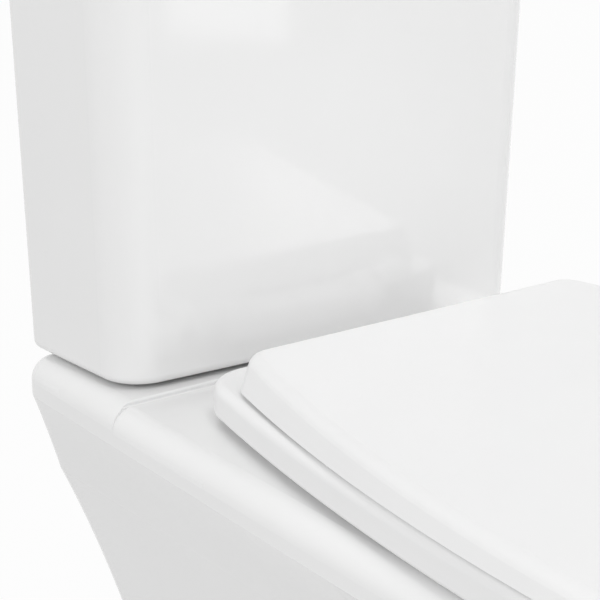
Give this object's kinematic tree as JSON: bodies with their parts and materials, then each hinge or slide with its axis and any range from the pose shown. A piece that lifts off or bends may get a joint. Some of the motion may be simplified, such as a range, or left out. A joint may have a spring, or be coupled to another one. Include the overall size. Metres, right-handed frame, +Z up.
{
  "type": "close coupled toilet",
  "caption": "Close coupled toilet in white glazed china: a pan with a raised shelf, a tapered cistern with push buttons, and a wrap-over seat and cover on hinges.",
  "frame": {"origin": "on the floor, under the middle of the whole toilet", "axes": "+Z up, +Y towards the wall behind, -Y the front of the pan, +X the side with the water inlet"},
  "size_m": [0.368, 0.65, 0.7895],
  "materials": {
    "china": "glossy white glaze",
    "seat_plastic": "smooth glossy white thermoset",
    "valve_plastic": "moulded off-white plastic",
    "rubber": "soft black rubber",
    "steel": "plain stainless",
    "chrome": "bright chrome plate"
  },
  "bodies": {
    "pan_and_cistern": {"pan": "china", "cistern_tank": "china", "coupling_gasket": "rubber", "coupling_bolts": "steel", "coupling_tank_washers": "rubber", "coupling_shelf_washers": "rubber", "coupling_steel_washers": "steel", "coupling_wing_nuts": "steel", "flush_valve_base": "valve_plastic", "flush_valve_washer": "rubber", "flush_valve_back_nut": "valve_plastic", "flush_valve_tower": "valve_plastic", "rocker_pin": "steel", "fill_valve_riser": "valve_plastic", "fill_valve_washer": "rubber", "fill_valve_back_nut": "valve_plastic", "fill_valve_head": "valve_plastic", "float_lever_pin": "steel", "fill_outlet_tube": "valve_plastic", "hinge_post_left": "chrome", "hinge_post_right": "chrome", "hinge_pin_left": "steel", "hinge_pin_right": "steel", "hinge_studs": "steel", "hinge_rubber_washers": "rubber", "hinge_wing_nuts": "valve_plastic"},
    "lid": {"cistern_lid": "china", "button_bezel": "chrome", "button_nut": "valve_plastic", "full_flush_spring": "steel", "half_flush_spring": "steel"},
    "full_button": {"full_flush_button": "chrome"},
    "half_button": {"half_flush_button": "chrome"},
    "full_rocker": {"full_flush_rocker": "valve_plastic"},
    "half_rocker": {"half_flush_rocker": "valve_plastic"},
    "flush_lift": {"lift_tube": "valve_plastic", "flush_seal": "rubber", "half_flush_float": "valve_plastic"},
    "float": {"float_cup": "valve_plastic"},
    "lever": {"float_lever": "valve_plastic"},
    "seat": {"seat_ring": "seat_plastic", "seat_buffers": "rubber"},
    "cover": {"seat_cover": "seat_plastic", "cover_buffers": "rubber"}
  },
  "joints": [
    {"name": "lid_lift", "type": "slide", "parent": "pan_and_cistern", "child": "lid", "axis": [0, 0, 1], "range_m": [0, 0.06]},
    {"name": "full_press", "type": "slide", "parent": "lid", "child": "full_button", "axis": [0, 0, 1], "range_m": [-0.007, 0], "stiffness_N_per_m": 300, "springref_m": 0.003, "deforming": ["full_flush_spring"]},
    {"name": "half_press", "type": "slide", "parent": "lid", "child": "half_button", "axis": [0, 0, 1], "range_m": [-0.007, 0], "stiffness_N_per_m": 300, "springref_m": 0.003, "deforming": ["half_flush_spring"]},
    {"name": "full_rock", "type": "hinge", "parent": "pan_and_cistern", "child": "full_rocker", "pos_m": [0.012, 0.242, 0.6925], "axis": [-1, 0, 0], "range_deg": [0, 25]},
    {"name": "half_rock", "type": "hinge", "parent": "pan_and_cistern", "child": "half_rocker", "pos_m": [-0.012, 0.242, 0.6925], "axis": [-1, 0, 0], "range_deg": [0, 25]},
    {"name": "flush_rise", "type": "slide", "parent": "pan_and_cistern", "child": "flush_lift", "axis": [0, 0, 1], "range_m": [0, 0.0078]},
    {"name": "float_rise", "type": "slide", "parent": "pan_and_cistern", "child": "float", "axis": [0, 0, 1], "range_m": [0, 0.012]},
    {"name": "lever_tilt", "type": "hinge", "parent": "pan_and_cistern", "child": "lever", "pos_m": [0.112, 0.253, 0.6745], "axis": [1, 0, 0], "range_deg": [0, 22]},
    {"name": "seat_lift", "type": "hinge", "parent": "pan_and_cistern", "child": "seat", "pos_m": [0, 0.145, 0.4435], "axis": [1, 0, 0], "range_deg": [-92, 0]},
    {"name": "cover_lift", "type": "hinge", "parent": "seat", "child": "cover", "pos_m": [0, 0.145, 0.4435], "axis": [-1, 0, 0], "range_deg": [0, 92]}
  ],
  "couplings": [
    {"joint": "full_rock", "follows": "full_press", "rad_per_m": -60},
    {"joint": "flush_rise", "follows": "full_press", "ratio": -1.1},
    {"joint": "half_rock", "follows": "half_press", "rad_per_m": -60},
    {"joint": "lever_tilt", "follows": "float_rise", "rad_per_m": 31.7}
  ]
}
